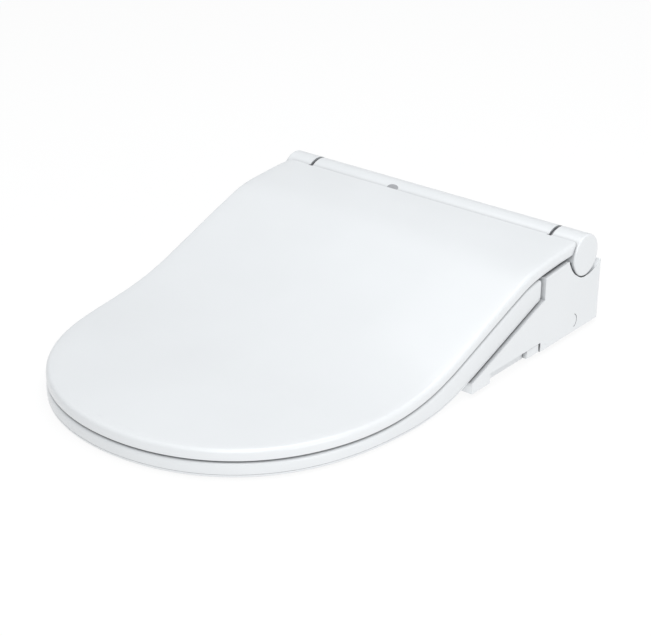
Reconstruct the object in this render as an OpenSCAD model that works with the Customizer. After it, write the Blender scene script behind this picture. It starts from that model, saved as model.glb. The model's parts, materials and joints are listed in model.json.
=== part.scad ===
// Electric bidet seat: slim D-shaped lid and heated seat on a wedge-shaped rear unit.
// +X is the right-hand side as seen from the front, -Y is the front, +Z is up.
// The origin is the middle of the footprint, on the plane of the bowl rim.

/* [Overall] */
// Width across the outer faces of the hinge hubs
overall_w = 383; // [379:1:387]
// Depth from the rear wall to the front edge of the lid
overall_d = 526; // [520:1:532]

/* [Hinge] */
// Height of the hinge axis above the bowl rim
hinge_z = 84; // [83.6:0.1:84.4]
// Distance from the rear wall to the hinge axis
hinge_back = 32.5; // [32.2:0.1:32.8]
// Radius of the round hubs at both ends of the lid
hub_r = 22.2; // [22:0.1:22.4]
// Radius of the fixed bar between the hubs
bar_r = 22; // [21.6:0.1:22.2]
// Half the length of the fixed bar
bar_half = 154; // [153:0.5:155]
// Radius of the two lid shafts
shaft_r = 6; // [5.5:0.1:6.4]
// Radial running clearance of every shaft
run_gap = 0.06; // [0.03:0.01:0.1]

/* [Lid and seat] */
// How far the lid edge sits inside the overall width, on each side
lid_inset = 2.9; // [2.6:0.1:3.2]
// Height of the lid's top face over the flat front
lid_front_z = 29; // [28.6:0.1:29.4]
// Height of the lid's top face beside the hinge
lid_rear_z = 102.3; // [102:0.1:102.5]
// Thickness of the lid's top skin
lid_skin = 3.5; // [2.5:0.1:4]
// Width of the lid's rim wall
lid_wall = 4; // [3:0.5:5]
// Gap between the closed lid and the seat
lid_gap = 1.2; // [1:0.1:1.5]
// Width of the seat opening
hole_w = 212; // [200:2:220]
// Length of the seat opening
hole_l = 262; // [250:2:270]
// Wall thickness of both seat shells
seat_wall = 3; // [2.5:0.1:3.5]

/* [Rear unit] */
// Height of the casing's lower edge above the bowl rim
case_z = 5; // [4.5:0.1:5.5]
// Wall thickness of the casing
case_wall = 3; // [2.5:0.1:3.2]
// Distance from the rear wall to the front of the casing's two arms
case_d = 228; // [226:0.5:229.5]
// Gap between the seat's underside and the casing below it
deck_gap = 2; // [1.5:0.1:2.5]

/* [Nozzle] */
// Angle at which the nozzle runs down and forwards
nozzle_tilt = 20; // [18:0.5:21]
// Radius of the nozzle wand
wand_r = 7; // [6.5:0.1:7.2]
// Length of the nozzle wand
wand_l = 118; // [110:1:120]

/* [Base plate] */
// Spacing of the two fixing slots
bolt_spacing = 155; // [140:5:160]
// Half the width of a fixing slot
bolt_r = 4.5; // [4:0.25:5]
// Length of a fixing slot from end to end
slot_l = 44; // [36:2:48]
// Thickness of the base plate
plate_t = 3; // [2.5:0.1:3.2]

/* [Hidden] */

half_w = overall_w / 2;
rear_y = overall_d / 2;
front_y = -rear_y;
hinge_y = rear_y - hinge_back;
case_front = rear_y - case_d;
far = 300;          // longer than any cut needs to be
tall = 130;         // higher than the whole object
eps = 0.02;

// Long curves of the side view: [y, z, slope] where the curve changes character
lid_top = [[-150, lid_front_z, 0], [12.5, 48.2, 0.39], [122.5, 90.8, 0.36], [175, 99.4, 0.09],
           [226, lid_rear_z, 0.04]];
lid_low = [[-150, 18.2, 0], [12.5, 37.4, 0.38], [122.5, 79.6, 0.36], [175, 88.2, 0.09],
           [226, 91, 0.04]];
seat_low = [[-60, 2.2, 0], [17.7, 12, 0.34], [155, 62.4, 0.365]];

// Seat and casing meet on these lines behind the opening
seat_rear = 151.5;            // rear end of the seat
riser_y = 156.5;            // where the casing rises in full behind the seat
split_h = 2.6;              // height of the seat's bottom shell
hole_y = -71;               // middle of the seat opening
bar_gap = 1;                // space between the lid's rear edge and the bar
hub_in = bar_half + 4;      // inner end of a hub
hub_cap = 4;                // thickness of a hub's outer disc
hub_core_r = 15;            // hub behind its disc, below the lid
arm_in = bar_half + 0.6;    // inner face of a seat arm
arm_t = 2.8;                // thickness of a seat arm
boss_r = 12;                // boss of a seat arm, in the end wall of the bar
pan_t = 4;                  // floor of the lower case
pan_inset = 5.6;            // how far the lower case sits inside the casing's sides
recess_y = [65.5, 153];   // cut-out in the right side, over the release button
recess_z = 15.2;
case_corner = 4;            // rounding of the casing's two rear corners
front_arc_r = 326;          // curve of the casing's front, around the bowl opening
front_arc_y = 72 - front_arc_r;

// Outline of the lid and seat in plan: the front is a superellipse
nose_y = 8;
side_power = 2 / 2.03;
nose_power = 2 / 3;
nose_steps = 40;

window_x = -44;             // receiver window: middle, half sizes and angle above the horizon
window_size = [6.8, 4.6];
window_angle = 55;
gland_x = -172;
gland_z = 24;
inlet_y = 188;
inlet_z = 38;
cup_r = 17;                 // inside of the cup around the water inlet
floor_z = case_z + pan_t;   // inner floor that the parts stand on
nozzle_y = 75;              // where the wand's axis crosses the front wall
nozzle_z = 15;
pinion_r = 6;
pinion_at = 33;             // along the wand, from its tip
tooth_pitch = 2 * PI * pinion_r / 12;
rack_x = wand_r + 0.25;     // base of the rack teeth, on the wand's right side
blower_y = 188;
blower_z = 42;
flap_y = 80;
flap_z = 20.6;
board_x = 109;              // left edge of the control board

white = [0.93, 0.94, 0.95];
seat_white = [0.90, 0.91, 0.92];
grey = [0.55, 0.56, 0.58];
dark = [0.25, 0.26, 0.28];
steel = [0.72, 0.73, 0.75];
brass = [0.80, 0.66, 0.35];
board_green = [0.12, 0.42, 0.25];
rubber = [0.30, 0.30, 0.32];

// ---- curves ----

function hermite(p, q, y) =
    let (w = q[0] - p[0], t = (y - p[0]) / w)
    (2 * t ^ 3 - 3 * t ^ 2 + 1) * p[1] + (t ^ 3 - 2 * t ^ 2 + t) * w * p[2]
    + (3 * t ^ 2 - 2 * t ^ 3) * q[1] + (t ^ 3 - t ^ 2) * w * q[2];

// Height of a long curve at y; the curve is level beyond its ends
function z_at(k, y) =
    let (last = len(k) - 1)
    y <= k[0][0] ? k[0][1]
    : y >= k[last][0] ? k[last][1]
    : let (i = max([for (j = [0:last - 1]) if (k[j][0] <= y) j])) hermite(k[i], k[i + 1], y);

function stations(y0, y1, step) = [y0, for (y = [y0 + step:step:y1 - step / 4]) y, y1];
function line_of(k, ys, dz) = [for (y = ys) [y, z_at(k, y) + dz]];
function slope_at(k, y) = (z_at(k, y + 1) - z_at(k, y - 1)) / 2;

function reversed(a) = [for (i = [len(a) - 1:-1:0]) a[i]];

// Band between an upper and a lower long curve, seen from the side
function band(k_top, dz_top, k_low, dz_low, y0, y1) =
    let (flat_end = -150, ys = [y0, for (y = stations(flat_end, y1, 12)) y])
    concat(line_of(k_top, ys, dz_top), reversed(line_of(k_low, ys, dz_low)));

function nose(inset, t) =
    [(half_w - lid_inset - inset) * sign(cos(t)) * abs(cos(t)) ^ side_power,
     nose_y - (nose_y - front_y - inset) * abs(sin(t)) ^ nose_power];

function d_plan(inset, back) =
    concat([[half_w - lid_inset - inset, back]],
           [for (i = [0:nose_steps]) nose(inset, 180 * i / nose_steps)],
           [[-(half_w - lid_inset - inset), back]]);

function hole_plan(grow) =
    [for (i = [0:47]) let (t = 360 * i / 48)
        [(hole_w / 2 + grow) * sign(cos(t)) * abs(cos(t)) ^ 0.9,
         hole_y + (hole_l / 2 + grow) * sign(sin(t)) * abs(sin(t)) ^ 0.9]];

// ---- building blocks ----

module side_prism(points, x0, x1)
    translate([x0, 0, 0]) rotate([90, 0, 90]) linear_extrude(x1 - x0) polygon(points);

module x_cyl(r, x0, x1, y = hinge_y, z = hinge_z, fn = 72)
    translate([x0, y, z]) rotate([0, 90, 0]) cylinder(r = r, h = x1 - x0, $fn = fn);

module box(low, high)
    translate(low) cube(high - low);

module both_sides() {
    children();
    mirror([1, 0, 0]) children();
}

module d_slab(inset, back)
    linear_extrude(tall) polygon(d_plan(inset, back));

// Clearance around the hinge for parts that reach back to it
module hinge_clearance(bar_space, hub_space) {
    x_cyl(bar_r + bar_space, -bar_half + 0.5, bar_half - 0.5);
    both_sides() {
        x_cyl(bar_r + 2, bar_half - 0.5, hub_in + 0.5);
        x_cyl(hub_r + hub_space, hub_in + 0.5, far);
    }
}

// ---- lid ----

module lid_panel() color(white)
    difference() {
        intersection() {
            d_slab(0, hinge_y);
            side_prism(band(lid_top, 0, lid_low, 0, front_y - 5, hinge_y), -half_w, half_w);
        }
        intersection() {
            d_slab(lid_wall, 206);
            side_prism(band(lid_top, -lid_skin, lid_low, -5, front_y, 206), -half_w, half_w);
        }
        hinge_clearance(bar_gap, 0.05);
    }

module lid_liner() color(white)
    intersection() {
        d_slab(lid_wall + 0.1, 205.5);
        side_prism(band(lid_low, 3, lid_low, 1, front_y, 205.5), -half_w, half_w);
    }

module lid_buffers() color(grey)
    for (p = [[-112, -196], [112, -196], [-158, -60], [158, -60]])
        translate([p[0], p[1], z_at(lid_low, p[1])]) rotate([atan(slope_at(lid_low, p[1])), 0, 0])
            translate([0, 0, -0.9]) cylinder(r = 5, h = 1.84, $fn = 32);

module lid_hub_right() color(white)
    difference() {
        translate([0, hinge_y, hinge_z]) rotate([0, 90, 0]) rotate_extrude($fn = 72)
            polygon([[0, hub_in], [hub_r, hub_in],
                     for (a = [0:15:90]) [hub_r - 2 + 2 * cos(a), half_w - 2 + 2 * sin(a)],
                     [0, half_w]]);
        x_cyl(shaft_r + eps, hub_in - 1, hub_in + 22, fn = 48);
        difference() {
            x_cyl(hub_r + 1, hub_in + 4, half_w - hub_cap);
            x_cyl(hub_core_r, hub_in, half_w);
            box([0, 0, hinge_z - 2], [half_w, far, tall]);
        }
    }

module lid_hub_left() mirror([1, 0, 0]) lid_hub_right();

module lid_shaft_right() color(steel)
    x_cyl(shaft_r, bar_half - 30, hub_in + 21.9, fn = 48);

module lid_shaft_left() mirror([1, 0, 0]) lid_shaft_right();

// ---- seat ----

module seat_ring(inset, back, grow)
    linear_extrude(tall) difference() {
        polygon(d_plan(0.5 + inset, back));
        polygon(hole_plan(grow));
    }

module seat_band(dz_top, dz_low, top_curve, low_curve)
    side_prism(band(top_curve, dz_top, low_curve, dz_low, front_y, seat_rear), -half_w, half_w);

module seat_top() color(seat_white)
    difference() {
        intersection() {
            seat_ring(0, seat_rear, 0);
            seat_band(-lid_gap, split_h, lid_low, seat_low);
        }
        intersection() {
            seat_ring(seat_wall, seat_rear - seat_wall, seat_wall);
            seat_band(-lid_gap - seat_wall, split_h - 2, lid_low, seat_low);
        }
    }

module seat_bottom() color(seat_white)
    difference() {
        intersection() {
            seat_ring(0, seat_rear, 0);
            seat_band(split_h, 0, seat_low, seat_low);
        }
        intersection() {
            seat_ring(seat_wall, seat_rear - seat_wall, seat_wall);
            seat_band(split_h + 2, seat_wall, seat_low, seat_low);
        }
        buffer_places() cylinder(r = 4 + eps, h = 10, $fn = 32);
    }

module buffer_places()
    for (p = [[-98, -196], [98, -196], [-150, -72], [150, -72]])
        translate([p[0], p[1], 0]) children();

module seat_buffers() color(grey)
    buffer_places() {
        cylinder(r = 9, h = 1.8, $fn = 40);
        cylinder(r = 4, h = 1.8 + seat_wall, $fn = 32);
    }

module seat_heater() color(brass)
    intersection() {
        seat_ring(12, seat_rear - 14, 12);
        seat_band(-lid_gap - seat_wall, -lid_gap - seat_wall - 0.6, lid_low, lid_low);
    }

module seat_thermostat() color(dark)
    translate([140, -60, z_at(lid_low, -60) - lid_gap - seat_wall - 0.6 - 3.2])
        cube([14, 18, 3.2]);

// The arm runs back under the lid to an eye and a hollow boss on the hinge axis
module seat_arm_right() color(grey)
    difference() {
        union() {
            side_prism([[seat_rear, 65], [seat_rear, 77.5], [200, 80], [hinge_y - 18, hinge_z],
                        [hinge_y, hinge_z - 16], [205, 66]], arm_in, arm_in + arm_t);
            box([arm_in - 7, seat_rear, 65], [arm_in + 11, riser_y - 0.5, 76.5]);
            x_cyl(19, arm_in, arm_in + arm_t);
            x_cyl(boss_r, bar_half - 10, arm_in + 1);
        }
        x_cyl(shaft_r + run_gap, bar_half - 11, hub_in + 1, fn = 48);
        arm_screw_places() translate([0, 0, -1]) cylinder(r = 1.6, h = 4, $fn = 24);
    }

module arm_screw_places()
    for (x = [-4, 7])
        translate([arm_in + x, seat_rear, 71]) rotate([-90, 0, 0]) children();

module seat_arm_left() mirror([1, 0, 0]) seat_arm_right();

module seat_arm_screws() color(steel)
    both_sides() arm_screw_places() cylinder(r = 1.5, h = 2, $fn = 24);

// ---- rear unit: casing ----

// Outline of the rear unit in plan, with its front curved around the bowl opening
module unit_plan(inset) {
    corner = case_corner - min(inset, case_corner - 0.5);
    x = half_w - case_corner;
    y = rear_y - case_corner;
    side = half_w - inset;
    difference() {
        polygon([for (a = [0:9:90]) [x + corner * cos(a), y + corner * sin(a)],
                 for (a = [90:9:180]) [-x + corner * cos(a), y + corner * sin(a)],
                 [-side, case_front + inset], [side, case_front + inset]]);
        translate([0, front_arc_y]) circle(r = front_arc_r + inset, $fn = 180);
    }
}

// Side view of the rear unit's outside, lowered by drop for its inside
function unit_side(drop, base) = concat(
    [[case_front - 5, base]],
    line_of(seat_low, [case_front - 5, for (y = stations(case_front, riser_y + drop, 14)) y],
            -deck_gap - drop),
    [[riser_y + drop, z_at(lid_low, riser_y) - 2.5 - drop]],
    line_of(lid_low, stations(riser_y + 12, 206 - drop, 12), -2.5 - drop),
    [[hinge_y + 22 - drop, hinge_z - 9], [rear_y - drop, 69 - drop], [rear_y - drop, base]]);

module cradle(grow) {
    x_cyl(bar_r + eps + grow, -bar_half - 1, bar_half + 1);
    both_sides() {
        x_cyl(bar_r + 2 + grow, bar_half - eps, hub_in + 0.1);
        x_cyl(hub_r + 0.8 + grow, hub_in - 0.8, far);
        x_cyl(38.2 + grow, hub_in - 0.8, far, hinge_y + 4, hinge_z + 15.5);
    }
}

// Sides, sloping deck and rear wall
module upper_case() color(white)
    difference() {
        intersection() {
            linear_extrude(tall) unit_plan(0);
            side_prism(unit_side(0, case_z), -half_w, half_w);
        }
        difference() {
            intersection() {
                linear_extrude(tall) unit_plan(case_wall);
                side_prism(unit_side(case_wall, 0), -half_w, half_w);
            }
            cradle(case_wall);
            screw_places() cylinder(r = 4.5, h = tall, $fn = 32);
            both_sides()
                box([arm_in - 4, riser_y, 52], [arm_in + arm_t + 4, rear_y, tall]);
        }
        cradle(0);
        both_sides() {
            box([arm_in - 0.6, seat_rear - 2, 55], [arm_in + arm_t + 0.6, hinge_y, tall]);
            box([arm_in - 8, seat_rear - 2, 55], [arm_in + 12, riser_y + 2.5, tall]);
        }
        box([half_w - 20, recess_y[0], 0], [half_w + 1, recess_y[1], recess_z]);
        screw_places() cylinder(r = 4.6, h = case_z + pan_t, $fn = 32);
        screw_places() cylinder(r = 2 + eps, h = case_z + 12.1, $fn = 32);
        rail_places() translate([-3.6, 170, 0]) cube([7.2, far, case_z + 2.3]);
        translate([gland_x, rear_y + 1, gland_z]) rotate([90, 0, 0]) cylinder(r = 6.1, h = 6, $fn = 40);
        front_windows(0);
        side_windows(0.3);
        arc_mark();
    }

module screw_places()
    for (p = [[-150, 58], [150, 58], [-150, 248], [150, 248], [-92, 252], [92, 252]])
        translate([p[0], p[1], 0]) children();

// Openings in the front wall: nozzle, warm-air outlet and air intake
module front_windows(grow) {
    box([-11 - grow, 40, 0], [11 + grow, 90, 27.5 + grow]);
    box([44 - grow, 40, 9.5 - grow], [80 + grow, 84, 25 + grow]);
    for (i = [0:5])
        box([-80 + 8 * i, 40, 11], [-76 + 8 * i, 84, 22]);
}

// Openings in the left side: water inlet, drain plug and filter drawer
module side_windows(grow) {
    x_cyl(cup_r + 1.5 + grow, -half_w - 1, -half_w + 8, inlet_y, inlet_z);
    x_cyl(9 + grow, -half_w - 1, -half_w + 8, 228, 26);
    box([-half_w - 1, 96 - grow, 13 - grow], [-half_w + 8, 134 + grow, 27 + grow]);
}

// Shallow curved mark moulded into the right side
module arc_mark()
    difference() {
        x_cyl(8.2, half_w - 0.8, half_w + 1, 212.2, 17.3);
        x_cyl(7.2, half_w - 2, half_w + 2, 212.2, 17.3);
        box([half_w - 3, 190, 0], [half_w + 3, 215, 40]);
    }

module case_screws() color(steel)
    screw_places() {
        translate([0, 0, case_z]) cylinder(r = 3.6, h = 2, $fn = 32);
        translate([0, 0, case_z + 2]) cylinder(r = 2, h = 10, $fn = 32);
    }

// Fixed bar between the hubs, closed by bored end walls
module bar_cover() color(white)
    difference() {
        x_cyl(bar_r, -bar_half, bar_half);
        x_cyl(bar_r - 2.5, -bar_half + 10, bar_half - 10);
        x_cyl(boss_r + run_gap, -far, far, fn = 48);
        window_place() window_prism(0.1);
    }

module window_place()
    translate([window_x, hinge_y, hinge_z]) rotate([90 - window_angle, 0, 0])
        translate([0, 0, bar_r - 5]) children();

module window_prism(grow)
    linear_extrude(12)
        polygon([for (a = [0:9:351]) [(window_size[0] + grow) * cos(a), (window_size[1] + grow) * sin(a)]]);

module sensor_window() color(grey)
    intersection() {
        window_place() window_prism(0);
        difference() {
            x_cyl(bar_r, window_x - 10, window_x + 10);
            x_cyl(bar_r - 3, window_x - 11, window_x + 11);
        }
    }

module sensor_board() color(board_green)
    translate([window_x, hinge_y, hinge_z]) rotate([90 - window_angle, 0, 0])
        translate([-13, -9, bar_r - 9]) {
            cube([26, 18, 1.6]);
            translate([9, 5, 1.6]) cube([8, 8, 4]);
        }

// Rotary dampers held inside the bar, one for the lid and one for the seat
module damper(x0) color(dark)
    difference() {
        union() {
            x_cyl(11.5, x0, x0 + 26);
            box([x0 + 4, hinge_y - 19, hinge_z - 3], [x0 + 22, hinge_y + 19, hinge_z + 3]);
        }
        x_cyl(shaft_r + run_gap, x0 + 4, x0 + 27, fn = 48);
    }

module lid_damper() damper(bar_half - 38);
module seat_damper() mirror([1, 0, 0]) damper(bar_half - 38);

// Tray that closes the casing from below
module lower_case() color(seat_white)
    difference() {
        union() {
            translate([0, 0, case_z]) linear_extrude(pan_t) pan_plan(pan_inset);
            difference() {
                translate([0, 0, case_z]) linear_extrude(12) pan_plan(pan_inset);
                translate([0, 0, case_z - 1]) linear_extrude(14) pan_plan(pan_inset + 2.2);
                box([-far, -far, case_z + pan_t], [far, recess_y[0] - 8, tall]);
            }
            bolt_places() translate([-slot_l / 2 - 6, -10, case_z]) cube([slot_l + 12, 20, 10]);
        }
        bolt_places() translate([-slot_l / 2 - 4, -8, case_z - 1]) cube([slot_l + 8, 16, 9]);
        rail_places() translate([-3.5, 124, case_z - 1]) cube([7, far, 3]);
        screw_places() cylinder(r = 3.7, h = case_z + 2, $fn = 32);
        screw_places() cylinder(r = 2 + eps, h = 30, $fn = 32);
        box([-12, 40, 0], [12, 128, 30]);
        front_windows(0.5);
        side_windows(0.5);
        box([half_w - 20, 129, case_z - 1], [half_w, 152, recess_z + 1]);
    }

module pan_plan(inset)
    difference() {
        polygon([[-half_w + inset, case_front + 4], [half_w - inset, case_front + 4],
                 [half_w - inset, rear_y - 4], [-half_w + inset, rear_y - 4]]);
        translate([0, front_arc_y]) circle(r = front_arc_r + 4, $fn = 180);
    }

module bolt_places()
    for (s = [-1, 1]) translate([s * bolt_spacing / 2, rear_y - 63, 0]) children();

module rail_places()
    for (x = [-128, 128]) translate([x, 0, 0]) children();

// ---- base plate that bolts to the bowl ----

module base_plate() color(grey)
    difference() {
        union() {
            box([-140, rear_y - 135, 1], [140, rear_y - 10, 1 + plate_t]);
            rail_places() translate([-3, rear_y - 135, plate_t])
                cube([6, 123, case_z + 2 - plate_t]);
        }
        bolt_places() slot(slot_l, bolt_r, 10);
    }

module slot(length, r, h)
    union() {
        for (s = [-1, 1])
            translate([s * (length / 2 - r), 0, -1]) cylinder(r = r, h = h, $fn = 48);
        translate([-length / 2 + r, -r, -1]) cube([length - 2 * r, 2 * r, h]);
    }

// Rubber strips under the plate, on the bowl rim
module base_pads() color(rubber)
    for (x = [-128, -30, 30, 128])
        translate([x - 8, rear_y - 130, 0]) cube([16, 114, 1]);

// ---- release button in the right-hand recess ----

module release_button() color(white) {
    box([half_w - 9, 130, case_z + 0.4], [half_w - 0.6, 151, recess_z - 0.6]);
    box([half_w - 26, 139, case_z + 4.4], [half_w - 9, 146, recess_z - 3]);
}

module latch_housing() color(grey)
    difference() {
        box([half_w - 46, 134, case_z + pan_t], [half_w - 22, 151, recess_z + 4]);
        box([half_w - 40, 138.6, case_z], [half_w - 21, 146.4, recess_z - 2.6]);
    }

// ---- water system ----

module cord_gland() color(dark)
    translate([gland_x, rear_y - case_wall, gland_z]) rotate([90, 0, 0]) difference() {
        union() {
            cylinder(r = 8, h = 8, $fn = 40);
            translate([0, 0, -case_wall]) cylinder(r = 6, h = case_wall + 1, $fn = 40);
        }
        translate([0, 0, -10]) cylinder(r = 3.4, h = 20, $fn = 32);
    }

// Threaded nipple in a recessed cup
module water_inlet() color(brass)
    difference() {
        union() {
            difference() {
                x_cyl(cup_r + 1.5, -half_w + 0.5, -half_w + 26, inlet_y, inlet_z, 64);
                x_cyl(cup_r, -half_w, -half_w + 22, inlet_y, inlet_z, 64);
            }
            x_cyl(10.4, -half_w + 2, -half_w + 25, inlet_y, inlet_z, 64);
        }
        x_cyl(5.5, -half_w, -half_w + 24, inlet_y, inlet_z, 48);
    }

module inlet_valve() color(seat_white) {
    box([-half_w + 26, 174, 24], [-132, 202, 52]);
    translate([-141, inlet_y, 52]) cylinder(r = 7, h = 16, $fn = 40);
}

module drain_plug() color(grey)
    difference() {
        union() {
            x_cyl(9, -half_w + 0.4, -half_w + 10, 228, 26, 40);
            x_cyl(6, -half_w + 10, -half_w + 20, 228, 26, 40);
        }
        box([-half_w, 221, 25], [-half_w + 2.4, 235, 27]);
    }

module vacuum_breaker() color(seat_white) {
    translate([-121, inlet_y, 38]) cylinder(r = 11, h = 32, $fn = 40);
    translate([-121, inlet_y, 30]) cylinder(r = 5, h = 8, $fn = 32);
}

module heater_tank() color(steel) {
    box([-84, 212, floor_z], [-12, 250, floor_z + 38]);
    for (x = [-74, -24]) translate([x, 212, 30]) rotate([90, 0, 0]) cylinder(r = 5, h = 8, $fn = 32);
}

module water_pump() color(dark) {
    x_cyl(15, 8, 48, 230, floor_z + 15);
    x_cyl(5, 48, 79.5, 230, floor_z + 15, 32);
    x_cyl(5, 0, 8, 230, floor_z + 15, 32);
}

module flow_divider() color(seat_white) {
    difference() {
        translate([92, 230, floor_z]) cylinder(r = 13, h = 30, $fn = 48);
        x_cyl(5 + eps, 70, 80, 230, floor_z + 15, 32);
    }
    translate([92, 230, floor_z + 30]) cylinder(r = 6, h = 8, $fn = 40);
}

function unit(v) = v / norm(v);

// Catmull-Rom point between b and c
function between(a, b, c, d, t) =
    ((2 * b) + (c - a) * t + (2 * a - 5 * b + 4 * c - d) * t ^ 2
     + (3 * b - a - 3 * c + d) * t ^ 3) / 2;

function smooth_route(p, steps) =
    let (last = len(p) - 1)
    [for (i = [0:last - 1], k = [0:steps - 1])
         between(p[max(i - 1, 0)], p[i], p[i + 1], p[min(i + 2, last)], k / steps), p[last]];

// Carries a normal along the tangents without twist
function carry(tangents, normal, i = 0) =
    let (u = unit(normal - (normal * tangents[i]) * tangents[i]))
    i == len(tangents) - 1 ? [u] : concat([u], carry(tangents, u, i + 1));

// Round tube swept along a smooth route
module hose(points, r = 3.5, steps = 5, sides = 10) {
    path = smooth_route(points, steps);
    last = len(path) - 1;
    end = len(points) - 1;
    tangents = [unit(points[1] - points[0]),
                for (i = [1:last - 1]) unit(path[i + 1] - path[i - 1]),
                unit(points[end] - points[end - 1])];
    normals = carry(tangents, [0.3, 0.9, 0.31]);
    rings = [for (i = [0:last], k = [0:sides - 1])
                 path[i] + r * (cos(360 * k / sides) * normals[i]
                                + sin(360 * k / sides) * cross(tangents[i], normals[i]))];
    walls = [for (i = [0:last - 1], k = [0:sides - 1])
                 let (n = (k + 1) % sides, a = i * sides)
                 [a + k, a + sides + k, a + sides + n, a + n]];
    ends = [[for (k = [0:sides - 1]) k], [for (k = [sides - 1:-1:0]) last * sides + k]];
    polyhedron(rings, concat(walls, ends), convexity = 6);
}

// Hoses between the water parts; the last one ends free behind the wand, which it follows
module water_hoses() color(rubber) {
    hose([[-121, 188, 30], [-121, 188, 25], [-108, 187, 21], [-86, 187, 22], [-75, 192, 29],
          [-74, 199, 30], [-74, 204, 30]]);
    hose([[-24, 204, 30], [-24, 199, 30], [-20, 194, 29], [-10, 196, 27], [-6.5, 207, 25],
          [-6.5, 222, 24], [-4, 230, 24], [0, 230, 24]]);
    hose([[92, 230, 47], [92, 230, 49.5], [88, 229, 52.5], [78, 227, 53], [40, 222, 53],
          [14, 204, 57], [3, 196, 61], [0, 193, 64]]);
}

// ---- nozzle ----

module nozzle_frame()
    translate([0, nozzle_y, nozzle_z]) rotate([nozzle_tilt, 0, 0]) children();

module nozzle_wand() color(seat_white)
    nozzle_frame() difference() {
        union() {
            translate([0, 8, 0]) rotate([-90, 0, 0]) cylinder(r = wand_r, h = wand_l - 8, $fn = 64);
            translate([4, 12, -2]) cube([rack_x - 4, wand_l - 12, 4]);
            for (i = [-5:26])
                translate([rack_x - 0.05, pinion_at + (i + 0.5) * tooth_pitch, -2])
                    linear_extrude(4) polygon([[0, -0.95], [1.85, -0.3], [1.85, 0.3], [0, 0.95]]);
        }
        translate([0, 20, 0]) rotate([-90, 0, 0]) cylinder(r = 3, h = wand_l, $fn = 32);
    }

module nozzle_tip() color(white)
    nozzle_frame() difference() {
        rotate([-90, 0, 0]) rotate_extrude($fn = 64)
            polygon([[0, 0], [4, 0], for (a = [-75:15:0]) [4 + 3 * cos(a), 3 + 3 * sin(a)],
                     [wand_r, 8], [0, 8]]);
        for (y = [3.4, 6.2]) translate([0, y, 0]) cylinder(r = 0.7, h = 20, $fn = 20);
    }

// Channel that guides the wand, open above and slotted for the rack
module nozzle_housing() color(seat_white)
    nozzle_frame() difference() {
        translate([-10.4, 3, -9]) cube([20.8, 106, 15]);
        translate([0, 2, 0]) rotate([-90, 0, 0]) cylinder(r = wand_r + 0.08, h = 120, $fn = 64);
        translate([-wand_r - 0.08, 2, 0]) cube([2 * wand_r + 0.16, 120, 20]);
        translate([0, 2, -2.6]) cube([20, 120, 5.2]);
        pinion_clearance();
        translate([rack_x + 1 + pinion_r, pinion_at, -10]) cylinder(r = 4, h = 10, $fn = 48);
    }

module pinion_clearance()
    translate([rack_x + 1 + pinion_r, pinion_at, -3]) cylinder(r = pinion_r + 1.6, h = 20, $fn = 48);

module pinion_place()
    nozzle_frame() translate([rack_x + 1 + pinion_r, pinion_at, 0]) children();

module nozzle_pinion() color(brass)
    pinion_place() {
        translate([0, 0, -2]) linear_extrude(4) union() {
            circle(r = pinion_r - 1.2, $fn = 48);
            for (i = [0:11]) rotate(i * 30 + 180)
                polygon([[4, -0.95], [pinion_r - 1.2, -0.9], [pinion_r + 0.8, -0.3],
                         [pinion_r + 0.8, 0.3], [pinion_r - 1.2, 0.9], [4, 0.95]]);
        }
        translate([0, 0, -12]) cylinder(r = 2, h = 10, $fn = 32);
    }

module nozzle_motor() color(steel)
    pinion_place() difference() {
        translate([0, 0, -14.6]) cylinder(r = 10, h = 5.4, $fn = 48);
        translate([0, 0, -12.1]) cylinder(r = 2 + run_gap, h = 10, $fn = 32);
    }

// ---- warm-air dryer ----

module blower_housing() color(dark)
    difference() {
        union() {
            x_cyl(26, 50, 74, blower_y, blower_z);
            box([50, 146, blower_z - 24], [74, blower_y, blower_z - 2]);
        }
        x_cyl(23.5, 52, 72, blower_y, blower_z);
        box([52, 145, blower_z - 22], [72, blower_y, blower_z - 4]);
        x_cyl(12, 71, 75, blower_y, blower_z, 40);
        x_cyl(2 + run_gap, 49, 53, blower_y, blower_z, 32);
    }

module blower_impeller() color(grey)
    difference() {
        union() {
            x_cyl(6, 53, 70, blower_y, blower_z, 40);
            x_cyl(21, 53, 54.5, blower_y, blower_z);
            for (i = [0:11])
                translate([53, blower_y, blower_z]) rotate([30 * i, 0, 0])
                    translate([1.4, 14, -0.6]) cube([15, 7, 1.2]);
            x_cyl(2, 42, 54, blower_y, blower_z, 32);
        }
        x_cyl(3, 62, 71, blower_y, blower_z, 32);
    }

module blower_motor() color(steel)
    difference() {
        x_cyl(11, 32, 50, blower_y, blower_z, 40);
        x_cyl(2 + run_gap, 40, 51, blower_y, blower_z, 32);
    }

// Rectangular duct from the blower to the outlet beside the nozzle
module dryer_duct() color(seat_white)
    difference() {
        side_prism([[77, 10], [120, 12], [146, 19], [146, 39], [120, 33], [77, 24.5]], 46, 78);
        side_prism([[76, 12], [120, 14], [147, 21], [147, 37], [120, 31], [76, 22.5]], 48, 76);
        x_cyl(1.4 + run_gap, 45, 79, flap_y, flap_z, 24);
    }

module dryer_heater() color(brass)
    for (z = [16, 20.5, 25])
        box([48, 106, z], [76, 116, z + 0.8]);

// Flap in the duct's mouth, hung from its top edge
module dryer_flap() color(white) {
    box([48.6, flap_y - 0.8, 12.6], [75.4, flap_y + 0.8, 21.2]);
    x_cyl(1.4, 46.4, 77.6, flap_y, flap_z, 24);
}

// ---- deodorizer ----

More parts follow.
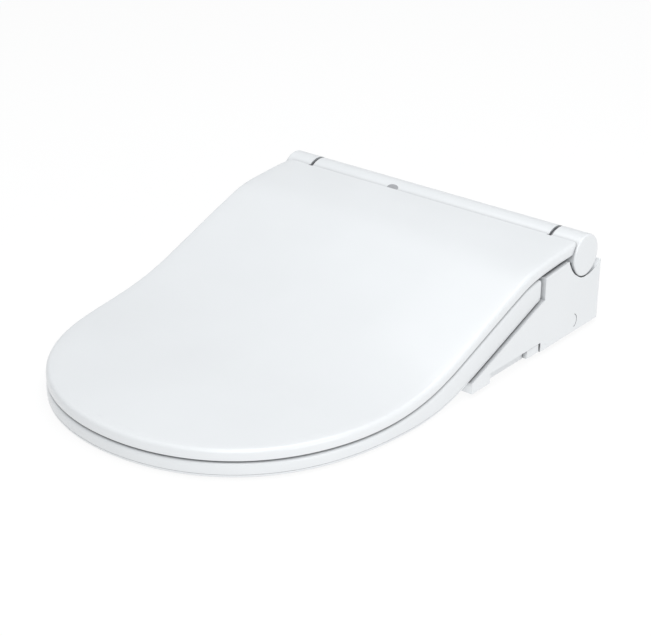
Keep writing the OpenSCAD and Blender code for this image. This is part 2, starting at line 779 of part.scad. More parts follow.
module deodorizer_housing() color(dark)
    difference() {
        union() {
            box([-138, 92, 10], [-84, 138, 30]);
            box([-half_w + 8.2, 95.5, 11.5], [-137, 134.5, 28.5]);
        }
        box([-136, 94, 12], [-86, 136, 28]);
        box([-half_w, 97.5, 13.5], [-135, 132.5, 26.5]);
        box([-87, 100, 13], [-83, 130, 27]);
        translate([-110, 115, 27]) cylinder(r = 10, h = 4, $fn = 40);
        translate([-110, 115, 9]) cylinder(r = 2 + run_gap, h = 4, $fn = 32);
    }

module deodorizer_fan() color(grey)
    translate([-110, 115, 0]) {
        translate([0, 0, 10.2]) cylinder(r = 2, h = 4, $fn = 32);
        translate([0, 0, 13.2]) cylinder(r = 5, h = 12, $fn = 40);
        for (i = [0:6]) rotate(i * 360 / 7) translate([4, -0.6, 14]) cube([13, 1.2, 10]);
    }

// Filter drawer, pulled out at the left side
module deodorizer_cartridge() color(grey)
    difference() {
        union() {
            box([-half_w + 0.4, 96.4, 13.4], [-half_w + 4, 133.6, 26.6]);
            box([-half_w + 4, 98, 14], [-140, 132, 26]);
        }
        for (i = [0:4]) box([-half_w + 12 + 7 * i, 101, 10], [-half_w + 16 + 7 * i, 129, 30]);
    }

// ---- electronics ----

module control_board() {
    color(seat_white) for (x = [4, 66], y = [172, 200])
        translate([board_x + x, y, floor_z]) cylinder(r = 3, h = 4, $fn = 32);
    color(board_green) box([board_x, 168, floor_z + 4], [board_x + 70, 204, floor_z + 5.6]);
    color(dark) {
        box([board_x + 6, 174, floor_z + 5.6], [board_x + 18, 188, floor_z + 9]);
        box([board_x + 24, 172, floor_z + 5.6], [board_x + 36, 182, floor_z + 14]);
        box([board_x + 46, 186, floor_z + 5.6], [board_x + 66, 198, floor_z + 16]);
    }
    color(steel) for (x = [20, 29, 38])
        translate([board_x + x, 194, floor_z + 5.6]) cylinder(r = 4, h = 12, $fn = 32);
}

module power_supply() color(dark)
    difference() {
        union() {
            box([-166, 212, floor_z], [-108, 242, floor_z + 28]);
            box([-177, 235, 19], [-166, 243, 29]);
        }
        for (i = [0:4]) box([-162 + 11 * i, 211, 14], [-157 + 11 * i, 214, 32]);
    }

// Lead from the supply to the heater, and the mains lead inside the gland
module wiring() color(rubber) {
    hose([[-108, 236, 30], [-104, 236, 30], [-98, 236, 36], [-96, 236, 46], [-88, 236, 51.5],
          [-70, 236, 52.5], [-61, 236, 51.8], [-60, 236, 49], [-60, 236, 47]]);
    hose([[gland_x, 252, gland_z], [gland_x, 247, gland_z], [gland_x, 243, gland_z]], 3);
}

upper_case();
bar_cover();
lower_case();
base_plate();
base_pads();
sensor_window();
sensor_board();
control_board();
power_supply();
cord_gland();
water_inlet();
inlet_valve();
drain_plug();
vacuum_breaker();
heater_tank();
water_pump();
flow_divider();
water_hoses();
wiring();
nozzle_housing();
nozzle_motor();
nozzle_pinion();
nozzle_wand();
nozzle_tip();
blower_housing();
blower_motor();
blower_impeller();
dryer_duct();
dryer_heater();
dryer_flap();
deodorizer_housing();
deodorizer_fan();
deodorizer_cartridge();
release_button();
latch_housing();
lid_damper();
seat_damper();
case_screws();
seat_top();
seat_bottom();
seat_heater();
seat_thermostat();
seat_buffers();
seat_arm_left();
seat_arm_right();
seat_arm_screws();
lid_panel();
lid_liner();
lid_buffers();
lid_hub_left();
lid_hub_right();
lid_shaft_left();
lid_shaft_right();
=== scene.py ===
import json
import math

import bmesh
import bpy
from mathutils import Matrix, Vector
from mathutils.geometry import delaunay_2d_cdt

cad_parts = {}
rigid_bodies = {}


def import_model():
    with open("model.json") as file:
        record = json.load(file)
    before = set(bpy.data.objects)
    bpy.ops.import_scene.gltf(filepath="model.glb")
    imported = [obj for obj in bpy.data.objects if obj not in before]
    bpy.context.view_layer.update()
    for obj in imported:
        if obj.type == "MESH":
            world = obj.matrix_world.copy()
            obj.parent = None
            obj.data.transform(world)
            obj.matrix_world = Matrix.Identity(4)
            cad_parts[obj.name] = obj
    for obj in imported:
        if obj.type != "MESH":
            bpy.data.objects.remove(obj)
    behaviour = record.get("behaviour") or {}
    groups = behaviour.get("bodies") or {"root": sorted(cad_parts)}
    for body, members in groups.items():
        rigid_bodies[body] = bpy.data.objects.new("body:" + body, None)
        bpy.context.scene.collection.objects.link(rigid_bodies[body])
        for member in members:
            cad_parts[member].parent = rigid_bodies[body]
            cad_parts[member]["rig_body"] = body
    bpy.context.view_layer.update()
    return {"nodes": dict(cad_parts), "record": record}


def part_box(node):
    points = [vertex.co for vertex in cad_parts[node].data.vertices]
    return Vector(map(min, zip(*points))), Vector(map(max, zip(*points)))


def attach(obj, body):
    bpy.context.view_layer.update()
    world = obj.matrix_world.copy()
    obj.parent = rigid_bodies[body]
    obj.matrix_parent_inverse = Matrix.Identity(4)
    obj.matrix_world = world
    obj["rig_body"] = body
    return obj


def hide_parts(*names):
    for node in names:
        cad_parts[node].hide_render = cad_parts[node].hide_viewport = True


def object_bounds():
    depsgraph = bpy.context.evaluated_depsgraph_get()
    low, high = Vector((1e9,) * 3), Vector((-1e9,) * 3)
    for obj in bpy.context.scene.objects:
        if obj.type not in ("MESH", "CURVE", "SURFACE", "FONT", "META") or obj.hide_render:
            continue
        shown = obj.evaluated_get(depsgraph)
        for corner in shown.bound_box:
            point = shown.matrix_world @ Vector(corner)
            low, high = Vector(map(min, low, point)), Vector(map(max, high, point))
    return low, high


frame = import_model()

SCENE = bpy.context.scene
RECORD = frame["record"]
SLOT_OF = {part["node"]: part["material_slot"] for part in RECORD["subparts"]}
MM = 0.001

# ---- measures ----

# Camera: the direction it looks from, its distance and its lens, for a 651 x 636 picture
AZIMUTH = math.radians(40.12)
ELEVATION = math.radians(24.93)
DISTANCE = 1.72
TARGET = Vector((0, -0.0025, 0.0555))
LENS = 96.65
SHIFT = (0.0519, -0.0214)

# Side view of the lid and seat in mm, as in the CAD source: (y, z, slope)
LID_TOP = ((-150, 29, 0), (12.5, 48.2, 0.39), (122.5, 90.8, 0.36), (175, 99.4, 0.09),
           (226, 102.3, 0.04))
LID_LOW = ((-150, 18.2, 0), (12.5, 37.4, 0.38), (122.5, 79.6, 0.36), (175, 88.2, 0.09),
           (226, 91, 0.04))
SEAT_LOW = ((-60, 2.2, 0), (17.7, 12, 0.34), (155, 62.4, 0.365))

# Plan of the lid and seat in mm: a half superellipse in front of straight sides
NOSE_Y = 8
SIDE_POWER = 2 / 2.03
NOSE_POWER = 2 / 3
NOSE_STEPS = 150

# Plan of the seat's opening in mm: a superellipse
HOLE_Y = -71
HOLE_HALF = (106, 131)
HOLE_POWER = 0.9
HOLE_STEPS = 120

# Read from the CAD pieces: in metres, apart from the four in mm
LID_LO, LID_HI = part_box("lid_panel")
HUB_LO, HUB_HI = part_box("lid_hub_right")
BAR_LO, BAR_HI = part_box("bar_cover")
HINGE_Y = (HUB_LO.y + HUB_HI.y) / 2
HINGE_Z = (HUB_LO.z + HUB_HI.z) / 2
HUB_R = (HUB_HI.y - HUB_LO.y) / 2
BAR_R = (BAR_HI.y - BAR_LO.y) / 2
HALF_LID = LID_HI.x / MM
FRONT_Y = LID_LO.y / MM
LID_REAR = HINGE_Y / MM
SEAT_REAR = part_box("seat_top")[1].y / MM

# Lid and seat, with lengths in mm
CAP_STEP = 7                # grid of their curved faces
ROUND_STEPS = 5             # rings in each rounded edge
LID_WALL = 4                # rim of the lid
LID_SKIN = 3.5              # top face of the lid
HOLLOW_REAR = 205.8         # rear end of the hollow in the lid
HOLLOW_DROP = 6             # how far its cutter starts below the underside
LINER_INSET = (0.3, 0.4)    # room round the liner: at its sides, at its rear
LINER_Z = (3, 1)            # top and underside of the liner, over the lid's underside
LID_ROUNDS = (4.2, 1.2)     # edges of the lid's top and underside
HOLLOW_ROUNDS = (0.5, 0.5)  # edges of the hollow
LINER_ROUNDS = (0.4, 0.8)   # edges of the liner
SEAT_GAP = 1.2              # between the lid and the seat
SEAT_SPLIT = 2.6            # height of the seat's bottom shell
SEAT_SEAM = 0.1             # gap between the seat's two shells
SEAT_OVERHANG = 0.2         # how far the top shell stands out past the bottom one
UNDER_INSET = (0.4, 0.8)    # bottom shell set back: at its rear, round the opening
SEAT_DISH = 2.6             # drop of the seat's top face at the opening
DISH_POWER = 2.2            # outline of the dish round the opening
DISH_REACH = 1.45           # its outer edge, in sizes of the opening
DISH_WIDTH = 0.45           # width of its slope, in the same
SEAT_ROUNDS = (5.0, 0.5)    # outer edges of the seat's top shell
HOLE_ROUNDS = (6.5, 1.5)    # its edges round the opening
UNDER_ROUNDS = (0.3, 1.2)   # edges of the seat's bottom shell
SEAT_CREASE = 40            # creases sharper than this stay sharp, in degrees
LID_CREASE = 32

# Room cut in the lid for the bar and the hubs, in metres
BAR_ROOM = 0.0009           # round the bar
BAR_END_ROOM = 0.0006       # past its ends
HUB_ROOM = 0.0006           # round the hubs
HUB_END_ROOM = 0.0002       # past their inner ends
NOTCH_ROOM = 0.002          # round the bar's line, between its ends and the hubs
NOTCH_OVER_BAR = 0.0007     # how far that room laps over the bar's ends
NOTCH_OVER_HUB = 0.0004     # and over the hubs
CUTTER_SIDES = 128
CUTTER_END = 0.3            # x beyond the part on either side

# Edges of the moulded and machined parts, and the width of each one's rounds in metres
WELD = 0.00002                      # vertices nearer than this become one, in metres
FLAT_ANGLE = math.radians(0.6)      # faces that bend less than this become one
EDGE_ANGLE = 35                     # edges sharper than this are rounded, in degrees
EDGE_SEGMENTS = 2
EDGE_WIDTHS = {
    "upper_case": 0.0008, "bar_cover": 0.0005, "lid_hub_left": 0.0004,
    "lid_hub_right": 0.0004, "lower_case": 0.0005, "release_button": 0.0006,
    "base_plate": 0.0006, "base_pads": 0.0003, "seat_arm_left": 0.0004,
    "seat_arm_right": 0.0004, "seat_buffers": 0.0005, "lid_buffers": 0.0005,
    "water_inlet": 0.0005, "drain_plug": 0.0006, "cord_gland": 0.0006,
    "deodorizer_cartridge": 0.0005, "nozzle_tip": 0.0003, "dryer_flap": 0.0003,
    "sensor_window": 0.0003,
}

# Looks
WHITE = (0.765, 0.785, 0.80)
PAINTED_SHADE_COLOUR = (0.13, 0.135, 0.145)      # painted shade down in seams and gaps
PAINTED_SHADE_POWER = 1.15
MIX_A, MIX_B, MIX_OUT = 6, 7, 2         # sockets of a mix node that mixes colours
SKY_COLOUR = (0.97, 0.985, 1)
SKY_STRENGTH = 0.50
FLOOR_COLOUR = (0.13, 0.13, 0.13)
FLOOR_GLOW = 0.87
FLOOR_HALF = 9                          # half the side of the floor, in metres
FLOOR_DROP = 0.0004                     # the floor lies this far under the part
SHINE_AT = Vector((0.175, 0.05, 0.07))  # place on the lid with a soft bright patch
LIGHTS = (                              # name, direction, distance, size, watts, aimed at
    ("key", (0.5, -0.65, 0.9), 2.4, 1.4, 22, TARGET),
    ("top", (0.05, 0.2, 1), 2.2, 1.5, 18, TARGET),
    ("softbox", (-0.44, 0.24, 0.8), 1.0, 0.26, 0.32, SHINE_AT),
    ("side", (1, -0.1, 0.3), 2.4, 1.2, 10, TARGET),
)


def hermite(p, q, y):
    """Cubic from p to q, which are (y, z, slope)."""
    width = q[0] - p[0]
    t = (y - p[0]) / width
    return ((2 * t ** 3 - 3 * t ** 2 + 1) * p[1] + (t ** 3 - 2 * t ** 2 + t) * width * p[2]
            + (3 * t ** 2 - 2 * t ** 3) * q[1] + (t ** 3 - t ** 2) * width * q[2])


def height(curve, y):
    """Height of a long side-view curve at y, level beyond its ends."""
    if y <= curve[0][0]:
        return curve[0][1]
    for p, q in zip(curve, curve[1:]):
        if y < q[0]:
            return hermite(p, q, y)
    return curve[-1][1]


def signed_power(value, power):
    return math.copysign(abs(value) ** power, value)


def d_outline(inset, back):
    """Closed plan of the lid or seat, counter-clockwise, in mm, ending at y = back."""
    half = HALF_LID - inset
    nose = NOSE_Y - FRONT_Y - inset
    points = []
    for i in range(NOSE_STEPS + 1):
        t = math.pi * i / NOSE_STEPS
        points.append((half * signed_power(math.cos(t), SIDE_POWER),
                       NOSE_Y - nose * abs(math.sin(t)) ** NOSE_POWER))
    points.reverse()
    rows = int((back - NOSE_Y) / CAP_STEP)
    right = [(half, NOSE_Y + (back - NOSE_Y) * (k + 1) / rows) for k in range(rows)]
    columns = int(2 * half / CAP_STEP)
    rear = [(half - 2 * half * (k + 1) / columns, back) for k in range(columns)]
    left = [(-half, back + (NOSE_Y - back) * (k + 1) / rows) for k in range(rows - 1)]
    return points + right + rear + left


def hole_outline(grow):
    """Closed plan of the seat's opening, clockwise, in mm."""
    points = []
    for i in range(HOLE_STEPS):
        t = -2 * math.pi * i / HOLE_STEPS
        points.append(((HOLE_HALF[0] + grow) * signed_power(math.cos(t), HOLE_POWER),
                       HOLE_Y + (HOLE_HALF[1] + grow) * signed_power(math.sin(t), HOLE_POWER)))
    return points


def inset_loop(points, distance):
    """The loop moved to its left, which is inwards for a counter-clockwise one."""
    moved = []
    for i, (x, y) in enumerate(points):
        ax, ay = points[i - 1]
        bx, by = points[(i + 1) % len(points)]
        u = Vector((x - ax, y - ay)).normalized()
        v = Vector((bx - x, by - y)).normalized()
        share = distance / max(0.3, 1 + u.dot(v))
        moved.append((x - (u.y + v.y) * share, y + (u.x + v.x) * share))
    return moved


# ---- materials ----

def nodes_of(name):
    """A new material, its node tree and its shader."""
    material = bpy.data.materials.new(name)
    material.use_nodes = True
    tree = material.node_tree
    return material, tree, tree.nodes["Principled BSDF"]


def noise(tree, scale, detail):
    """Noise over the place in the scene, so it is the same from every camera."""
    point = tree.nodes.new("ShaderNodeNewGeometry")
    node = tree.nodes.new("ShaderNodeTexNoise")
    node.inputs["Scale"].default_value = scale
    node.inputs["Detail"].default_value = detail
    node.inputs["Roughness"].default_value = 0.55
    tree.links.new(point.outputs["Position"], node.inputs["Vector"])
    return node.outputs["Fac"]


def spread(tree, value, low, high):
    """value, a noise around one half, mapped to low..high."""
    node = tree.nodes.new("ShaderNodeMapRange")
    node.inputs["From Min"].default_value = 0.3
    node.inputs["From Max"].default_value = 0.7
    node.inputs["To Min"].default_value = low
    node.inputs["To Max"].default_value = high
    tree.links.new(value, node.inputs["Value"])
    return node.outputs["Result"]


def mix_colour(tree, factor, a, b):
    node = tree.nodes.new("ShaderNodeMix")
    node.data_type = "RGBA"
    node.inputs[MIX_A].default_value = (*a, 1)
    node.inputs[MIX_B].default_value = (*b, 1)
    tree.links.new(factor, node.inputs[0])
    return node.outputs[MIX_OUT]


def bump(tree, shader, heights, distance):
    """Relief of the surface, distance metres deep."""
    node = tree.nodes.new("ShaderNodeBump")
    node.inputs["Distance"].default_value = distance
    node.inputs["Strength"].default_value = 1
    tree.links.new(heights, node.inputs["Height"])
    tree.links.new(node.outputs["Normal"], shader.inputs["Normal"])


def scaled(colour, share):
    return tuple(min(1, c * share) for c in colour)


def shaded_gaps(tree, colour, reach):
    """The colour with painted shade: darker down in seams and gaps narrower than reach."""
    shut = tree.nodes.new("ShaderNodeAmbientOcclusion")
    shut.inputs["Distance"].default_value = reach
    curve = tree.nodes.new("ShaderNodeMath")
    curve.operation = "POWER"
    curve.inputs[1].default_value = PAINTED_SHADE_POWER
    tree.links.new(shut.outputs["AO"], curve.inputs[0])
    mix = tree.nodes.new("ShaderNodeMix")
    mix.data_type = "RGBA"
    mix.inputs[MIX_A].default_value = (*PAINTED_SHADE_COLOUR, 1)
    tree.links.new(curve.outputs[0], mix.inputs[0])
    tree.links.new(colour, mix.inputs[MIX_B])
    return mix.outputs[MIX_OUT]


def moulded(name, colour, rough, grain, depth, coat=0.0, reach=0.006):
    """Moulded plastic: faint cloudiness, uneven gloss, a fine skin and painted shade in its
    seams and gaps.
    """
    material, tree, shader = nodes_of(name)
    cloud = spread(tree, noise(tree, 9, 2), 0, 1)
    tint = mix_colour(tree, cloud, scaled(colour, 0.985), scaled(colour, 1.01))
    # painted shade: the tint is darkened by ambient occlusion within reach
    tree.links.new(shaded_gaps(tree, tint, reach), shader.inputs["Base Color"])
    tree.links.new(spread(tree, noise(tree, 60, 4), rough * 0.88, rough * 1.12),
                   shader.inputs["Roughness"])
    shader.inputs["Coat Weight"].default_value = coat
    shader.inputs["Coat Roughness"].default_value = 0.12
    bump(tree, shader, noise(tree, grain, 3), depth)
    return material


def rubber(name, colour):
    """Matt rubber with fine specks."""
    material, tree, shader = nodes_of(name)
    specks = spread(tree, noise(tree, 900, 3), 0, 1)
    tree.links.new(mix_colour(tree, specks, scaled(colour, 0.85), scaled(colour, 1.15)),
                   shader.inputs["Base Color"])
    shader.inputs["Roughness"].default_value = 0.8
    bump(tree, shader, noise(tree, 1400, 2), 0.00008)
    return material


def brushed(name, colour, rough):
    """Metal with fine lines along X."""
    material, tree, shader = nodes_of(name)
    point = tree.nodes.new("ShaderNodeNewGeometry")
    stretch = tree.nodes.new("ShaderNodeMapping")
    stretch.inputs["Scale"].default_value = (40, 900, 900)
    lines = tree.nodes.new("ShaderNodeTexNoise")
    lines.inputs["Scale"].default_value = 1
    tree.links.new(point.outputs["Position"], stretch.inputs["Vector"])
    tree.links.new(stretch.outputs["Vector"], lines.inputs["Vector"])
    shader.inputs["Metallic"].default_value = 1
    tint = mix_colour(tree, spread(tree, noise(tree, 30, 4), 0, 1),
                      scaled(colour, 0.88), scaled(colour, 1.05))
    tree.links.new(tint, shader.inputs["Base Color"])
    tree.links.new(spread(tree, lines.outputs["Fac"], rough * 0.8, rough * 1.25),
                   shader.inputs["Roughness"])
    bump(tree, shader, lines.outputs["Fac"], 0.00003)
    return material


def lens(name, colour):
    """Tinted window with a smooth face."""
    material, tree, shader = nodes_of(name)
    depth = spread(tree, noise(tree, 140, 2), 0, 1)
    tree.links.new(mix_colour(tree, depth, scaled(colour, 0.85), scaled(colour, 1.1)),
                   shader.inputs["Base Color"])
    shader.inputs["Roughness"].default_value = 0.2
    shader.inputs["Coat Weight"].default_value = 0.6
    shader.inputs["Coat Roughness"].default_value = 0.05
    bump(tree, shader, noise(tree, 500, 2), 0.00001)
    return material


def circuit(name, colour):
    """Circuit board: solder mask over straight traces."""
    material, tree, shader = nodes_of(name)
    point = tree.nodes.new("ShaderNodeNewGeometry")
    bricks = tree.nodes.new("ShaderNodeTexBrick")
    bricks.inputs["Scale"].default_value = 160
    bricks.inputs["Mortar Size"].default_value = 0.03
    bricks.inputs["Color1"].default_value = (*colour, 1)
    bricks.inputs["Color2"].default_value = (*scaled(colour, 0.85), 1)
    bricks.inputs["Mortar"].default_value = (*scaled(colour, 1.5), 1)
    tree.links.new(point.outputs["Position"], bricks.inputs["Vector"])
    tree.links.new(bricks.outputs["Color"], shader.inputs["Base Color"])
    shader.inputs["Roughness"].default_value = 0.35
    bump(tree, shader, bricks.outputs["Fac"], 0.00003)
    return material


MATERIALS = {
    "gloss_white": moulded("gloss_white", WHITE, 0.34, 260, 0.00001, coat=0.25),
    "seat_white": moulded("seat_white", scaled(WHITE, 0.985), 0.36, 260, 0.00001,
                          coat=0.2, reach=0.0035),
    "satin_white": moulded("satin_white", scaled(WHITE, 0.97), 0.5, 900, 0.00003),
    "grey_plastic": moulded("grey_plastic", (0.46, 0.47, 0.49), 0.55, 1100, 0.00005),
    "natural_plastic": moulded("natural_plastic", (0.74, 0.74, 0.70), 0.5, 800, 0.00003),
    "dark_plastic": moulded("dark_plastic", (0.09, 0.095, 0.105), 0.5, 1100, 0.00005),
    "rubber": rubber("rubber", (0.20, 0.205, 0.215)),
    "sensor_tint": lens("sensor_tint", (0.38, 0.39, 0.41)),
    "circuit_green": circuit("circuit_green", (0.05, 0.22, 0.10)),
    "steel": brushed("steel", (0.60, 0.61, 0.63), 0.32),
    "brass": brushed("brass", (0.72, 0.54, 0.24), 0.28),
}

for node, obj in frame["nodes"].items():
    obj.data.materials.clear()
    obj.data.materials.append(MATERIALS[SLOT_OF[node]])


# ---- building pieces ----

def add_object(name, data):
    obj = bpy.data.objects.new(name, data)
    SCENE.collection.objects.link(obj)
    return obj


def finish_piece(obj, node, sharp):
    """Gives a piece its finish and lets it stand for, and ride with, its CAD node."""
    obj.data.materials.clear()
    obj.data.materials.append(MATERIALS[SLOT_OF[node]])
    obj.data.shade_smooth()
    obj.data.set_sharp_from_angle(angle=math.radians(sharp))
    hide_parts(node)
    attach(obj, frame["nodes"][node]["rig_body"])


def applied(obj):
    """The object with its modifiers made real."""
    bpy.context.view_layer.update()
    evaluated = obj.evaluated_get(bpy.context.evaluated_depsgraph_get())
    mesh = bpy.data.meshes.new_from_object(evaluated)
    obj.modifiers.clear()
    obj.data = mesh
    return obj


def soften(node, width):
    """Puts a copy with small rounds on its edges in place of a CAD node."""
    mesh = frame["nodes"][node].data.copy()
    shape = bmesh.new()
    shape.from_mesh(mesh)
    bmesh.ops.remove_doubles(shape, verts=shape.verts, dist=WELD)
    bmesh.ops.dissolve_limit(shape, angle_limit=FLAT_ANGLE, verts=shape.verts,
                             edges=shape.edges)
    shape.to_mesh(mesh)
    shape.free()
    obj = add_object(node + "_part", mesh)
    rounds = obj.modifiers.new("rounds", "BEVEL")
    rounds.width = width
    rounds.segments = EDGE_SEGMENTS
    rounds.limit_method = "ANGLE"
    rounds.angle_limit = math.radians(EDGE_ANGLE)
    applied(obj)
    obj.data.shade_smooth()
    obj.data.set_sharp_from_angle(angle=math.radians(EDGE_ANGLE))
    flats = obj.modifiers.new("flats", "WEIGHTED_NORMAL")
    flats.keep_sharp = True
    finish_piece(applied(obj), node, EDGE_ANGLE)


def inside(loop, x, y):
    """Whether the point is within the closed loop."""
    odd = False
    for (ax, ay), (bx, by) in zip(loop, loop[1:] + loop[:1]):
        if (ay > y) != (by > y) and x < (bx - ax) * (y - ay) / (by - ay) + ax:
            odd = not odd
    return odd


def interior_grid(outer, holes, clear):
    """Grid points at least clear mm inside the outline and outside the holes."""
    limit = inset_loop(outer, clear)
    avoid = [inset_loop(hole, clear) for hole in holes]
    low = [min(p[k] for p in limit) for k in (0, 1)]
    high = [max(p[k] for p in limit) for k in (0, 1)]
    columns = [int((high[k] - low[k]) / CAP_STEP) for k in (0, 1)]
    points = []
    for i in range(1, columns[0]):
        for j in range(1, columns[1] + 1):
            x = low[0] + (high[0] - low[0]) * i / columns[0]
            y = low[1] + (high[1] - low[1]) * j / columns[1] - CAP_STEP / 2
            if inside(limit, x, y) and not any(inside(hole, x, y) for hole in avoid):
                points.append((x, y))
    return points


def cap(shape, loops, face_height, upwards):
    """Fills the loops of existing vertices with a fine face that follows face_height."""
    plans = [[(v.co.x / MM, v.co.y / MM) for v in loop] for loop in loops]
    points = interior_grid(plans[0], plans[1:], CAP_STEP * 0.6)
    fresh = [shape.verts.new((x * MM, y * MM, face_height(x, y) * MM)) for x, y in points]
    verts = [v for loop in loops for v in loop] + fresh
    edges, start = [], 0
    for loop in loops:
        edges += [(start + k, start + (k + 1) % len(loop)) for k in range(len(loop))]
        start += len(loop)
    plan = [Vector(p) for p in sum(plans, []) + points]
    found = delaunay_2d_cdt(plan, edges, [], 1, 1e-6, True)
    made = []
    for tri in found[2]:
        ids = [found[3][k][0] for k in tri]
        x, y = (sum(plan[k][axis] for k in ids) / 3 for axis in (0, 1))
        if any(inside(hole, x, y) for hole in plans[1:]):
            continue
        corners = [verts[k] for k in (ids if upwards else reversed(ids))]
        made.append(shape.faces.new(corners))
    bmesh.ops.join_triangles(shape, faces=made, angle_face_threshold=0.7,
                             angle_shape_threshold=0.7)


def wall(shape, plan, top, low, round_top, round_low):
    """Side wall of a slab, from its lower cap to its upper one, and those two loops."""
    rings = []
    for k in range(ROUND_STEPS + 1):
        a = math.pi / 2 * (1 - k / ROUND_STEPS)
        ring = inset_loop(plan, round_low * (1 - math.cos(a)))
        drop = round_low * (1 - math.sin(a))
        rings.append([(x, y, low(x, y) + drop) for x, y in ring])
    for k in range(ROUND_STEPS + 1):
        a = math.pi / 2 * k / ROUND_STEPS
        ring = inset_loop(plan, round_top * (1 - math.cos(a)))
        drop = round_top * (1 - math.sin(a))
        rings.append([(x, y, top(x, y) - drop) for x, y in ring])
    loops = [[shape.verts.new((x * MM, y * MM, z * MM)) for x, y, z in ring] for ring in rings]
    count = len(plan)
    for lower, upper in zip(loops, loops[1:]):
        for k in range(count):
            n = (k + 1) % count
            shape.faces.new((lower[k], lower[n], upper[n], upper[k]))
    return loops[0], loops[-1]


def slab(name, outlines, top, low):
    """Closed plate between two curved faces; outlines are (plan, round_top, round_low)."""
    shape = bmesh.new()
    ends = [wall(shape, plan, top, low, *rounds) for plan, *rounds in outlines]
    cap(shape, [end[0] for end in ends], low, False)
    cap(shape, [end[1] for end in ends], top, True)
    bmesh.ops.recalc_face_normals(shape, faces=shape.faces)
    mesh = bpy.data.meshes.new(name)
    shape.to_mesh(mesh)
    shape.free()
    return add_object(name, mesh)


def rod(name, radius, x0, x1):
    """Closed cylinder on the hinge axis, used only to cut the lid."""
    sides = CUTTER_SIDES
    mesh = bpy.data.meshes.new(name)
    verts, faces = [], []
    for x in (x0, x1):
        for k in range(sides):
            a = 2 * math.pi * k / sides
            verts.append((x, HINGE_Y + radius * math.cos(a), HINGE_Z + radius * math.sin(a)))
    for k in range(sides):
        n = (k + 1) % sides
        faces.append((k, n, sides + n, sides + k))
    faces += [tuple(reversed(range(sides))), tuple(range(sides, 2 * sides))]
    mesh.from_pydata(verts, [], faces)
    shape = bmesh.new()
    shape.from_mesh(mesh)
    bmesh.ops.recalc_face_normals(shape, faces=shape.faces)
    shape.to_mesh(mesh)
    shape.free()
    return add_object(name, mesh)


def cut(obj, cutters):
    """Takes the cutters out of a piece and deletes them."""
    for cutter in cutters:
        step = obj.modifiers.new(cutter.name, "BOOLEAN")
        step.operation = "DIFFERENCE"
        step.solver = "EXACT"
        step.object = cutter
    applied(obj)
    for cutter in cutters:
        bpy.data.objects.remove(cutter)


# ---- lid ----

def lid_top(x, y):
    return height(LID_TOP, y)


def lid_low(x, y):
    return height(LID_LOW, y)


def above(face, rise):
    """The curved face, rise mm higher."""
    return lambda x, y: face(x, y) + rise


def hinge_cutters():
    """Room for the bar and the two hubs, deeper between the bar's ends and the hubs."""
    left_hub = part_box("lid_hub_left")[1].x
    right_hub = HUB_LO.x
    notch_r = BAR_R + NOTCH_ROOM
    hub_r = HUB_R + HUB_ROOM
    return [rod("bar_room", BAR_R + BAR_ROOM, BAR_LO.x - BAR_END_ROOM, BAR_HI.x + BAR_END_ROOM),
            rod("left_gap", notch_r, left_hub - NOTCH_OVER_HUB, BAR_LO.x + NOTCH_OVER_BAR),
            rod("right_gap", notch_r, BAR_HI.x - NOTCH_OVER_BAR, right_hub + NOTCH_OVER_HUB),
            rod("left_hub_room", hub_r, -CUTTER_END, left_hub + HUB_END_ROOM),
            rod("right_hub_room", hub_r, right_hub - HUB_END_ROOM, CUTTER_END)]


def make_lid():
    """The lid, hollow from below, and the liner that closes the hollow."""
    lid = slab("lid_shell", [(d_outline(0, LID_REAR), *LID_ROUNDS)], lid_top, lid_low)
    cavity = slab("lid_cavity", [(d_outline(LID_WALL, HOLLOW_REAR), *HOLLOW_ROUNDS)],
                  above(lid_top, -LID_SKIN), above(lid_low, -HOLLOW_DROP))
    cut(lid, hinge_cutters() + [cavity])
    finish_piece(lid, "lid_panel", LID_CREASE)
    plan = d_outline(LID_WALL + LINER_INSET[0], HOLLOW_REAR - LINER_INSET[1])
    liner = slab("lid_inside", [(plan, *LINER_ROUNDS)],
                 above(lid_low, LINER_Z[0]), above(lid_low, LINER_Z[1]))
    finish_piece(liner, "lid_liner", LID_CREASE)


# ---- seat ----

def seat_low(x, y):
    return height(SEAT_LOW, y)


def seat_top(x, y):
    """The lid's underside less a gap, dished towards the opening."""
    across = abs(x / HOLE_HALF[0]) ** DISH_POWER
    along = abs((y - HOLE_Y) / HOLE_HALF[1]) ** DISH_POWER
    reach = (across + along) ** (1 / DISH_POWER)
    slope = min(1, max(0, (DISH_REACH - reach) / DISH_WIDTH))
    return height(LID_LOW, y) - SEAT_GAP - SEAT_DISH * slope * slope * (3 - 2 * slope)


def make_seat():
    """The seat's top shell and its bottom shell, with the seam between them."""
    outer, hole = d_outline(-SEAT_OVERHANG, SEAT_REAR), hole_outline(0)
    upper = slab("seat_shell", [(outer, *SEAT_ROUNDS), (hole, *HOLE_ROUNDS)],
                 seat_top, above(seat_low, SEAT_SPLIT + SEAT_SEAM))
    finish_piece(upper, "seat_top", SEAT_CREASE)
    outer, hole = d_outline(0, SEAT_REAR - UNDER_INSET[0]), hole_outline(UNDER_INSET[1])
    lower = slab("seat_under", [(outer, *UNDER_ROUNDS), (hole, *UNDER_ROUNDS)],
                 above(seat_low, SEAT_SPLIT), seat_low)
    finish_piece(lower, "seat_bottom", SEAT_CREASE)


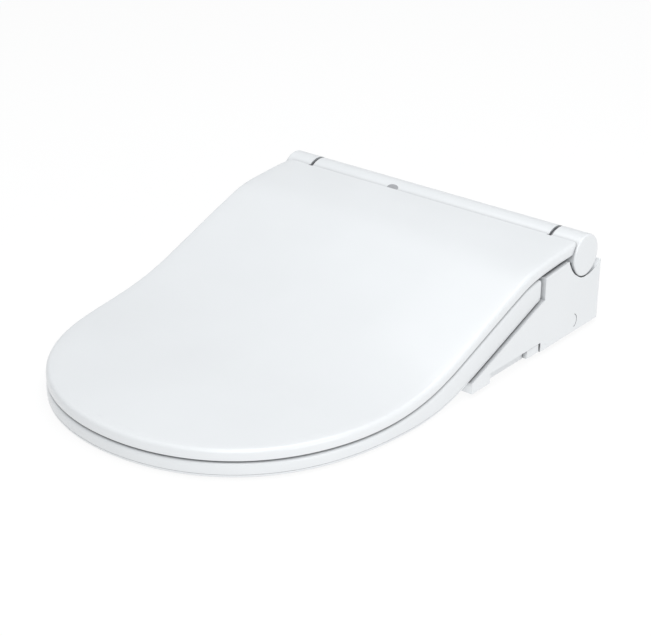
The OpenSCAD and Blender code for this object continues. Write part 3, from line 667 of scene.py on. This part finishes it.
make_lid()
make_seat()
for part, width in EDGE_WIDTHS.items():
    soften(part, width)


# ---- camera, floor and light ----

def face_towards(obj, direction, distance, aim):
    """Puts a camera or light out from aim in a direction, and turns it to look back at it."""
    obj.location = aim + direction * distance
    obj.rotation_euler = (aim - obj.location).to_track_quat("-Z", "Y").to_euler()


def make_camera():
    data = bpy.data.cameras.new("camera")
    data.lens, data.sensor_width = LENS, 36
    data.shift_x, data.shift_y = SHIFT
    data.clip_start, data.clip_end = 0.05, 60
    camera = add_object("camera", data)
    back = Vector((math.sin(AZIMUTH) * math.cos(ELEVATION),
                   -math.cos(AZIMUTH) * math.cos(ELEVATION), math.sin(ELEVATION)))
    face_towards(camera, back, DISTANCE, TARGET)
    SCENE.camera = camera


def make_floor():
    """Sheet that glows white, so that shadows on it stay faint."""
    material, tree, shader = nodes_of("floor_white")
    shader.inputs["Base Color"].default_value = (*FLOOR_COLOUR, 1)
    shader.inputs["Roughness"].default_value = 1
    shader.inputs["Specular IOR Level"].default_value = 0
    shader.inputs["Emission Color"].default_value = (1, 1, 1, 1)
    shader.inputs["Emission Strength"].default_value = FLOOR_GLOW
    mesh = bpy.data.meshes.new("floor")
    half = FLOOR_HALF
    mesh.from_pydata([(-half, -half, 0), (half, -half, 0), (half, half, 0), (-half, half, 0)],
                     [], [(0, 1, 2, 3)])
    mesh.materials.append(material)
    floor = add_object("floor", mesh)
    floor.location.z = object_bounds()[0][2] - FLOOR_DROP


def make_light():
    """Even studio light, with a small box that puts a bright patch on the lid's right side."""
    world = bpy.data.worlds.new("world")
    SCENE.world = world
    world.use_nodes = True
    sky = world.node_tree.nodes["Background"]
    sky.inputs["Color"].default_value = (*SKY_COLOUR, 1)
    sky.inputs["Strength"].default_value = SKY_STRENGTH
    for name, direction, distance, size, watts, aim in LIGHTS:
        data = bpy.data.lights.new(name, "AREA")
        data.shape, data.size, data.energy = "SQUARE", size, watts
        face_towards(add_object(name, data), Vector(direction).normalized(), distance, aim)
    SCENE.view_settings.view_transform = "Standard"


make_camera()
make_floor()
make_light()
